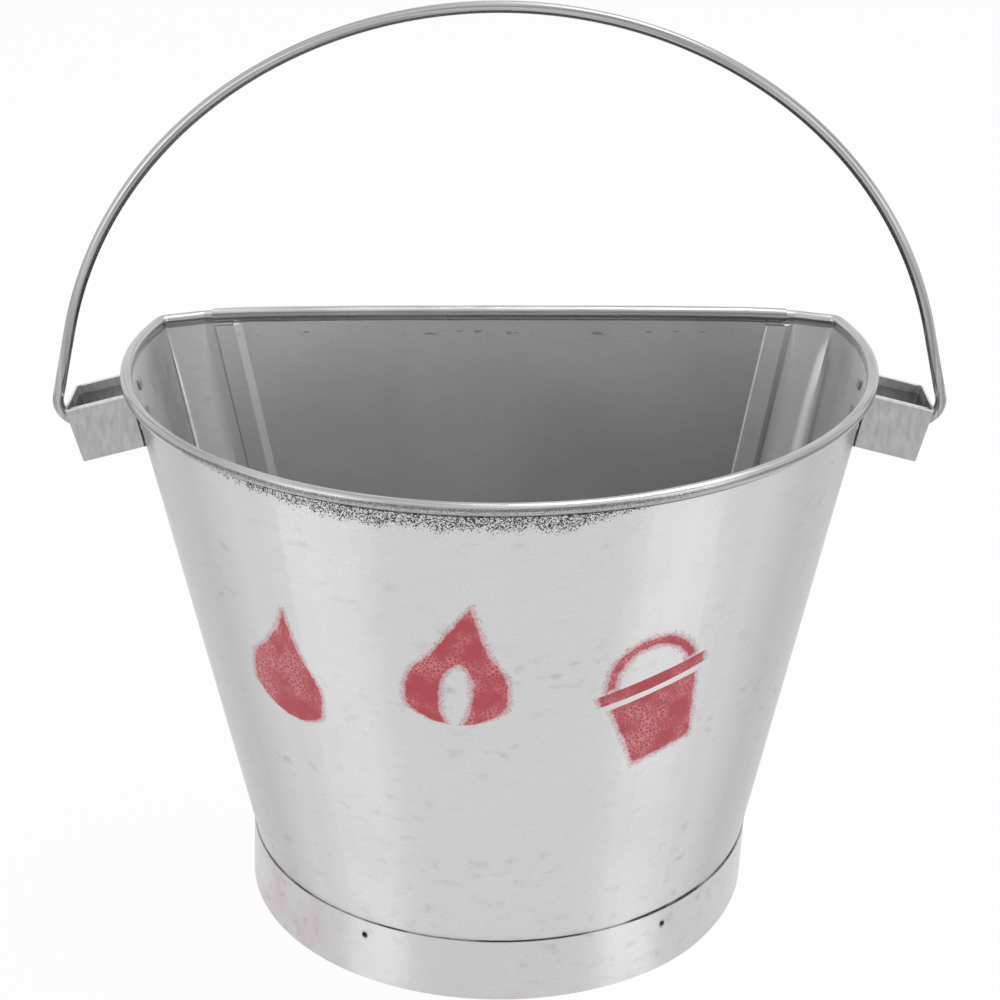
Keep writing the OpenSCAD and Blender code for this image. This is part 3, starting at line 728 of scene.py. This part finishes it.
def hem_painted_highlight(tree, at):
    """Painted highlight on both hems' folded edge, and on all of the hem behind the pivot."""
    aside = add(tree, "Math", [(at["xyz"], "X")], operation="ABSOLUTE")
    aside = add(tree, "Math", [aside, LUG_END_X], operation="SUBTRACT")
    rise = turned(tree, aside, above_pivot(tree, at), LUG_DROOP)[1]
    edge = add(tree, "MapRange", {"Value": rise, **ramp(*HEM_EDGE, 1.0, 1.6)})
    behind = add(tree, "Math", [(at["xyz"], "Y"), float(pivot[1])], operation="GREATER_THAN")
    hem = add(tree, "Math", [rise, HEM_Z], operation="GREATER_THAN")
    hem = add(tree, "Math", [hem, behind], operation="MULTIPLY")
    hem = add(tree, "MapRange", {"Value": hem, "To Min": 1.0, "To Max": 1.7})
    return add(tree, "Math", [edge, hem], operation="MAXIMUM")


def wall_painted_shadow(tree, at):
    """A painted shadow just off the round wall's outer face."""
    from_axis = add(tree, "VectorMath", [at["mm"], (0, -AXIS_Y, 0)], operation="ADD")
    from_axis = add(tree, "VectorMath", [from_axis, (1, 1, 0)], operation="MULTIPLY")
    from_axis = add(tree, "VectorMath", [from_axis], operation="LENGTH")
    wall = add(tree, "Math", [at["height"], SLOPE, TOP_RADIUS - RIM_Z * SLOPE],
               operation="MULTIPLY_ADD")
    off_wall = add(tree, "Math", [(from_axis, "Value"), wall], operation="SUBTRACT")
    off_shadow = add(tree, "Math", [off_wall, SHADOW_OFF_WALL], operation="SUBTRACT")
    off_shadow = add(tree, "Math", [off_shadow], operation="ABSOLUTE")
    return add(tree, "MapRange",
               {"Value": off_shadow, **ramp(SHADOW_OFF_WALL, 2 * SHADOW_OFF_WALL, 0.12)})


def hemmed_strap(tree, at):
    """Dull streaky zinc, with painted highlights on its hems and a painted shadow at the wall."""
    skin = zinc_skin(tree, at, "#ACACAC", 0.4, 0.0, 0.3)
    streaks = add(tree, "MapRange", {"Value": patches(tree, at["mm"], (1.8, 1.8, 6), 4.0),
                                     **ramp(*NOISE_SPAN, 0.87, 1.12)})
    return shaded(tree, skin, [hem_painted_highlight(tree, at), streaks, wall_painted_shadow(tree, at)])


STRAP_ZINC = sheet_material("hemmed_galvanised_strap", hemmed_strap)
print("pivot", np.round(pivot, 2).tolist(), "lug's end at x", round(LUG_END_X, 2))

# %% [markdown]
# ## The bar of the bail
# The bail is round bar that was pulled through a die, which left fine lines along its whole
# length. To follow them, its material measures how far a point lies from the middle of the
# bail's arc. The inner side is darkened with painted shade.

# %% The bar's material
BAIL_LEAN = math.radians(7.9)
ARC_DROP = 0.5  # how far the arc's middle lies below the pivot
ARC_RADIUS = 171.7
# where the painted shade on the inner side is darkest, and where it ends
INNER_SIDE = (-1.9, -0.5)  # dull at the first distance off the arc, and bright at the second


def bar_coordinates(tree, at):
    """The place along the arc, off it, and out of its plane, in mm, and the distance off it."""
    back = add(tree, "Math", [(at["xyz"], "Y"), float(pivot[1])], operation="SUBTRACT")
    off_plane, up = turned(tree, back, above_pivot(tree, at), -BAIL_LEAN)
    up = add(tree, "Math", [up, ARC_DROP], operation="ADD")
    in_plane = add(tree, "CombineXYZ", {"X": (at["xyz"], "X"), "Y": up})
    off_arc = add(tree, "VectorMath", [in_plane], operation="LENGTH")
    off_arc = add(tree, "Math", [(off_arc, "Value"), ARC_RADIUS], operation="SUBTRACT")
    angle = add(tree, "Math", [up, (at["xyz"], "X")], operation="ARCTAN2")
    along = add(tree, "Math", [angle, ARC_RADIUS], operation="MULTIPLY")
    return add(tree, "CombineXYZ", {"X": along, "Y": off_arc, "Z": off_plane}), off_arc


def drawn_bar(tree, at):
    """Drawn bar with a thin zinc coat: fine lines along it, and painted shade on its inner side."""
    skin = zinc_skin(tree, at, "#A9A9A9", 0.24, 0.0, 0.3, 0.0)
    on_bar, off_arc = bar_coordinates(tree, at)
    line = add(tree, "MapRange", {"Value": patches(tree, on_bar, (70, 0.7, 0.7), 2.0),
                                  **ramp(0.36, 0.64, 0.66, 1.22)})
    # painted shade on the inner side of the arc
    inner = add(tree, "MapRange", {"Value": off_arc, **ramp(*INNER_SIDE, 0.62)})
    return shaded(tree, skin, [line, inner])


BAR_ZINC = sheet_material("drawn_galvanised_bar", drawn_bar)
print("bar:", len(BAR_ZINC.node_tree.nodes), "nodes")

# %% [markdown]
# ## How folded sheet departs from its drawing
# Sheet is folded and rolled by hand, so the straight edges of the drawing bow a little. On this
# bucket the back's rim is pulled in towards its two ends, and one back corner was bent over a
# rounder bar than the other. Both are written as one rule that moves any point near them, and
# the same rule then bends the shell, the panel and the wire, so they stay together. A second
# rule moves in the foot's lower edge on the right, where the hoop was knocked.

# %% The rules that bend the back and the foot
# How far the rim is pulled in, at distances from its middle
BOW = [(0, 0.0), (60, 0.4), (84, 1.1), (105, 2.0), (116, 3.4), (124, 4.4), (133, 3.6), (141, 2.4)]
BOW_STARTS_Z = 14.0
BOW_FADES_Y = (2.0, 40.0)
RETURN_ANGLE = math.radians(25)  # between the flat back and the strip on each side of it
RETURN_DISTANCE = 99.53  # from the cone's axis to that strip, at the rim
CORNER_ROUNDS = [(1, 14.0), (-1, 4.0)]  # the right and the left corner, with their radius
CORNER_REACH = 6.0
CORNER_FOOT_Z = (14.0, 50.0)
CORNER_TOP_Z = (205.0, 228.0)
KNOCK = 2.4
KNOCK_X = (60.0, 107.0)


def smooth(value, low, high):
    """0 below low, 1 above high, and an easy curve between."""
    share = np.clip((value - low) / (high - low), 0, 1)
    return share * share * (3 - 2 * share)


def corner_frame(side):
    """A back corner of the rim's outline: its place, and the direction along its bisector."""
    along = math.sqrt(TOP_RADIUS ** 2 - RETURN_DISTANCE ** 2)
    sine, cosine = math.sin(RETURN_ANGLE), math.cos(RETURN_ANGLE)
    place = np.array([RETURN_DISTANCE * sine + along * cosine,
                      RETURN_DISTANCE * cosine - along * sine])
    outwards = place / TOP_RADIUS + np.array([sine, cosine])
    outwards /= np.linalg.norm(outwards)
    half_turn = (math.pi / 2 - math.atan2(place[1], place[0]) - RETURN_ANGLE) / 2
    return place * (side, 1), outwards * (side, 1), half_turn


def bend_back(points):
    """Moves points, in mm, as the folded back departs from its drawing."""
    x, y, z = points.T
    narrow = taper(z)
    flat = np.stack([x, y - AXIS_Y], axis=1) / narrow[:, None]
    amount = np.interp(np.abs(flat[:, 0]), *zip(*BOW))
    height = np.clip((z - BOW_STARTS_Z) / (RIM_Z - BOW_STARTS_Z), 0, 1) ** 1.2
    moved = points.copy()
    moved[:, 1] -= amount * height * smooth(flat[:, 1], *BOW_FADES_Y)

    for side, radius in CORNER_ROUNDS:
        place, outwards, half_turn = corner_frame(side)
        offset = flat - place
        across = np.abs(offset @ np.array([outwards[1], -outwards[0]]))
        near = ((across < radius * math.sin(half_turn))
                & (np.abs(offset @ outwards) < CORNER_REACH))
        arc = np.sqrt(np.maximum(radius ** 2 - across ** 2, 0)) - radius / math.cos(half_turn)
        drop = np.where(near, arc + across * math.tan(half_turn), 0)
        drop *= smooth(z, *CORNER_FOOT_Z) * (1 - smooth(z, *CORNER_TOP_Z))
        moved[:, :2] += drop[:, None] * outwards
    return moved


def knock_foot(points):
    """Moves the foot's lower edge in on the right, where the hoop was knocked."""
    moved = points.copy()
    x, _, z = points.T
    moved[:, 0] -= KNOCK * smooth(x, *KNOCK_X) * np.clip(1 - z / foot_high[2], 0, 1)
    return moved


probe = np.array([[121.0, AXIS_Y + 51.0, RIM_Z], [0.0, AXIS_Y + 51.0, RIM_Z]])
print("the rim's ends and middle move by", np.round(bend_back(probe) - probe, 2).tolist(), "mm")

# %% [markdown]
# ## Sheet that can bend
# A CAD mesh has long triangles that run from one edge of a face to the other, and these can't
# bend. So each piece starts as a merged copy of its CAD node, and is sliced where it has to
# bend: at even heights, and along lines that run to the cone's apex, as the real bends do.

# %% Make bendable copies of CAD nodes
MERGE_DISTANCE = 2e-6  # metres
CUT_TOLERANCE = 1e-7  # metres
SMOOTH_SHEET = math.radians(17)
SMOOTH_ROLL = math.radians(50)
ROLL_STARTS_Z = RIM_Z - 2.9
ROLL_ROUND_Z = RIM_Z - 1.4


def height_cuts(low, high, step):
    """Level planes through the heights from low to high, in mm."""
    return [((0, 0, z), (0, 0, 1)) for z in np.arange(low, high, step)]


def apex_cuts(direction, distances):
    """Planes through the cone's apex that cut the rim's outline at distances along a direction."""
    cuts = []
    for distance in distances:
        normal = (direction[0], direction[1], -distance * SLOPE / TOP_RADIUS)
        place = (direction[0] * distance, direction[1] * distance + AXIS_Y, RIM_Z)
        cuts.append((place, normal))
    return cuts


def corner_cuts():
    """Cuts that let both back corners round off."""
    cuts = []
    for side, radius in CORNER_ROUNDS:
        place, outwards, half_turn = corner_frame(side)
        line = np.array([outwards[1], -outwards[0]])
        steps = radius * math.sin(half_turn) * np.linspace(-1, 1, 11)
        cuts += apex_cuts(line, place @ line + steps)
    return cuts


def smooth_limit(ends):
    """The angle up to which an edge is shaded smooth, which is more in the rolled edge."""
    return SMOOTH_ROLL if all(z > ROLL_ROUND_Z for _, _, z in ends) else SMOOTH_SHEET


def sheet_copy(node, name, cuts=(), rule=None):
    """A merged, sliced and bent copy of a CAD node, shaded smooth where the sheet is smooth."""
    work = bmesh.new()
    work.from_mesh(frame["nodes"][node].data)
    bmesh.ops.remove_doubles(work, verts=work.verts, dist=MERGE_DISTANCE)
    for place, normal in cuts:
        bmesh.ops.bisect_plane(work, geom=work.verts[:] + work.edges[:] + work.faces[:],
                               dist=CUT_TOLERANCE, plane_co=Vector(place) * MM, plane_no=normal)
    bmesh.ops.triangulate(work, faces=work.faces[:])
    if rule:
        places = rule(np.array([v.co for v in work.verts]) / MM) * MM
        for vert, place in zip(work.verts, places):
            vert.co = place
    work.normal_update()
    for edge in work.edges:
        edge.smooth = edge.calc_face_angle(0) < smooth_limit([v.co / MM for v in edge.verts])
    for face in work.faces:
        face.smooth = True
    mesh = bpy.data.meshes.new(name)
    work.to_mesh(mesh)
    work.free()
    piece = bpy.data.objects.new(name, mesh)
    bpy.context.scene.collection.objects.link(piece)
    print(f"{name}: {len(mesh.polygons)} triangles")
    return piece


upright_cuts = apex_cuts((1, 0), np.arange(-144, 145, 8))
back_cuts = height_cuts(20, 228, 16) + height_cuts(ROLL_STARTS_Z, RIM_Z, 5) + upright_cuts
shell = sheet_copy("front_shell", "front_sheet", back_cuts + corner_cuts(), bend_back)
panel = sheet_copy("back_panel", "back_sheet", back_cuts, bend_back)
wire = sheet_copy("rim_wire", "wire_in_rim", upright_cuts, bend_back)
bottom = sheet_copy("bottom_plate", "bottom_sheet")
foot = sheet_copy("foot_band", "foot_hoop", height_cuts(6, 26, 10), knock_foot)
left_lug = sheet_copy("left_lug", "left_strap")
right_lug = sheet_copy("right_lug", "right_strap")
for piece, node in [(shell, "front_shell"), (panel, "back_panel"), (wire, "rim_wire"),
                    (bottom, "bottom_plate"), (foot, "foot_band"), (left_lug, "left_lug"),
                    (right_lug, "right_lug")]:
    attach(piece, "bucket")
    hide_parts(node)

# %% [markdown]
# ## The bail, swept along its path
# The bail is one length of round bar: an arc, two straight legs, and a curl at each end that
# turns the bar back into the lug. A bar that follows a path is a job for Geometry Nodes. The
# path is a plain curve, worked out from the pivot, and the node tree gives it the bar's
# thickness, the chamfer at both ends and the slight unevenness of bar that was bent cold.

# %% The bail's path
BAR_DIAMETER = 4.5
LEG_FLARE = math.radians(14)
CURL_RADIUS = 9.0
STUB_LENGTH = 8.0
curl_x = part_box("bail")[1][0] / MM - CURL_RADIUS - BAR_DIAMETER / 2


def arc_points(centre, radius, start, end, steps):
    """Points on an arc, from one angle to another."""
    angles = np.linspace(start, end, steps)
    return [(centre[0] + radius * math.cos(a), centre[1] + radius * math.sin(a)) for a in angles]


def bail_path():
    """The middle line of the bail in its own upright plane, from the left stub to the right one."""
    curl_rise = CURL_RADIUS * (1 + math.sin(LEG_FLARE))
    leg_run = (ARC_DROP + curl_rise) * math.tan(LEG_FLARE)
    arc_radius = math.cos(LEG_FLARE) * (curl_x + CURL_RADIUS * math.cos(LEG_FLARE) + leg_run)
    half = [(curl_x - STUB_LENGTH, 0)]
    half += arc_points((curl_x, CURL_RADIUS), CURL_RADIUS, -math.pi / 2, LEG_FLARE, 24)
    half += arc_points((0, -ARC_DROP), arc_radius, LEG_FLARE, math.pi / 2, 60)
    left = [(-x, z) for x, z in half[:-1]]
    return left + half[::-1]


def lean(point):
    """A point of the bail's plane, leant towards the front about the pivot."""
    x, up = point
    return (x, pivot[1] - up * math.sin(BAIL_LEAN), pivot[2] + up * math.cos(BAIL_LEAN))


path_points = [Vector(lean(p)) * MM for p in bail_path()]
curve = bpy.data.curves.new("bail_path", "CURVE")
curve.dimensions = "3D"
spline = curve.splines.new("POLY")
spline.points.add(len(path_points) - 1)
for slot, place in zip(spline.points, path_points):
    slot.co = (*place, 1.0)
bail_source = bpy.data.objects.new("bail_path", curve)
bpy.context.scene.collection.objects.link(bail_source)
print("bail path:", len(path_points), "points")

# %% [markdown]
# ## A node tree that makes a bar from a path
# The tree has a named input for each size. Near each end of the path the bar's radius shrinks,
# which makes the chamfer, and a slow noise moves the skin by a few hundredths of a millimetre.
# Unevenness is below 0, so the skin only moves inwards.

# %% Build the bar's tree and run it
def bar_tree(name, sizes, finish):
    """A Geometry Nodes tree that sweeps a round bar along a curve. sizes are its named inputs."""
    tree = bpy.data.node_groups.new(name, "GeometryNodeTree")
    tree.interface.new_socket("Path", in_out="INPUT", socket_type="NodeSocketGeometry")
    for key, value in sizes.items():
        socket = tree.interface.new_socket(key, in_out="INPUT", socket_type="NodeSocketFloat")
        socket.default_value = value
    tree.interface.new_socket("Bar", in_out="OUTPUT", socket_type="NodeSocketGeometry")
    given = add(tree, "NodeGroupInput")
    even = add(tree, "GeometryNodeResampleCurve", {"Curve": (given, "Path"),
                                                   "Length": (given, "Step")}, mode="LENGTH")
    along = add(tree, "GeometryNodeSplineParameter")
    whole = add(tree, "GeometryNodeSplineLength")
    rest = add(tree, "Math", [(whole, "Length"), (along, "Length")], operation="SUBTRACT")
    to_end = add(tree, "Math", [(along, "Length"), rest], operation="MINIMUM")
    half = add(tree, "Math", [(given, "Diameter"), 0.5], operation="MULTIPLY")
    tip = add(tree, "Math", [half, (given, "Chamfer")], operation="SUBTRACT")
    radius = add(tree, "MapRange", {"Value": to_end, "From Max": (given, "Chamfer"), "To Min": tip,
                                    "To Max": half})
    ring = add(tree, "GeometryNodeCurvePrimitiveCircle", {"Resolution": 28, "Radius": 1.0})
    bar = add(tree, "GeometryNodeCurveToMesh", {"Curve": even, "Profile Curve": ring,
                                                "Scale": radius, "Fill Caps": True})
    place = add(tree, "GeometryNodeInputPosition")
    normal = add(tree, "GeometryNodeInputNormal")
    wave = add(tree, "TexNoise", {"Vector": place, "Scale": 28.0, "Detail": 1.0})
    inward = add(tree, "Math", [wave, (given, "Unevenness")], operation="MULTIPLY")
    shift = add(tree, "VectorMath", {0: normal, "Scale": inward}, operation="SCALE")
    moved = add(tree, "GeometryNodeSetPosition", {"Geometry": bar, "Offset": shift})
    rounded = add(tree, "GeometryNodeSetShadeSmooth", {"Geometry": moved})
    real = add(tree, "GeometryNodeRealizeInstances", {"Geometry": rounded})
    coated = add(tree, "GeometryNodeSetMaterial", {"Geometry": real, "Material": finish})
    add(tree, "NodeGroupOutput", {"Bar": coated})
    return tree


def run_tree(source, tree, sizes, name):
    """Runs a tree on an object and returns the result as a plain mesh object."""
    modifier = source.modifiers.new(tree.name, "NODES")
    modifier.node_group = tree
    for item in tree.interface.items_tree:
        if item.in_out == "INPUT" and item.name in sizes:
            modifier[item.identifier] = sizes[item.name]
    shown = source.evaluated_get(bpy.context.evaluated_depsgraph_get())
    mesh = bpy.data.meshes.new_from_object(shown)
    source.modifiers.remove(modifier)
    piece = bpy.data.objects.new(name, mesh)
    bpy.context.scene.collection.objects.link(piece)
    bpy.data.objects.remove(source)
    print(f"{name}: {len(mesh.polygons)} faces")
    return piece


bar_sizes = {"Diameter": BAR_DIAMETER * MM, "Step": 1.2 * MM, "Chamfer": 0.6 * MM,
             "Unevenness": -0.05 * MM}
bail = run_tree(bail_source, bar_tree("round_bar", bar_sizes, BAR_ZINC), bar_sizes, "bail_bar")
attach(bail, "bail")
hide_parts("bail")

# %% [markdown]
# ## Dress the sheets
# Each sheet gets its material. The rolled edges are part of the front and the back sheet, so
# their faces, which all lie above one height, get a second material.

# %% Give each piece its material
for piece, finish in [(shell, FRONT_ZINC), (panel, BACK_ZINC), (wire, BAR_ZINC),
                      (bottom, BOTTOM_ZINC), (foot, FOOT_ZINC), (left_lug, STRAP_ZINC),
                      (right_lug, STRAP_ZINC)]:
    piece.data.materials.clear()
    piece.data.materials.append(finish)
for piece, finish in [(shell, FRONT_ROLL), (panel, BACK_ROLL)]:
    piece.data.materials.append(finish)
    for face in piece.data.polygons:
        if face.center.z > ROLL_STARTS_Z * MM:
            face.material_index = 1
print("materials:", [m.name for m in bpy.data.materials])
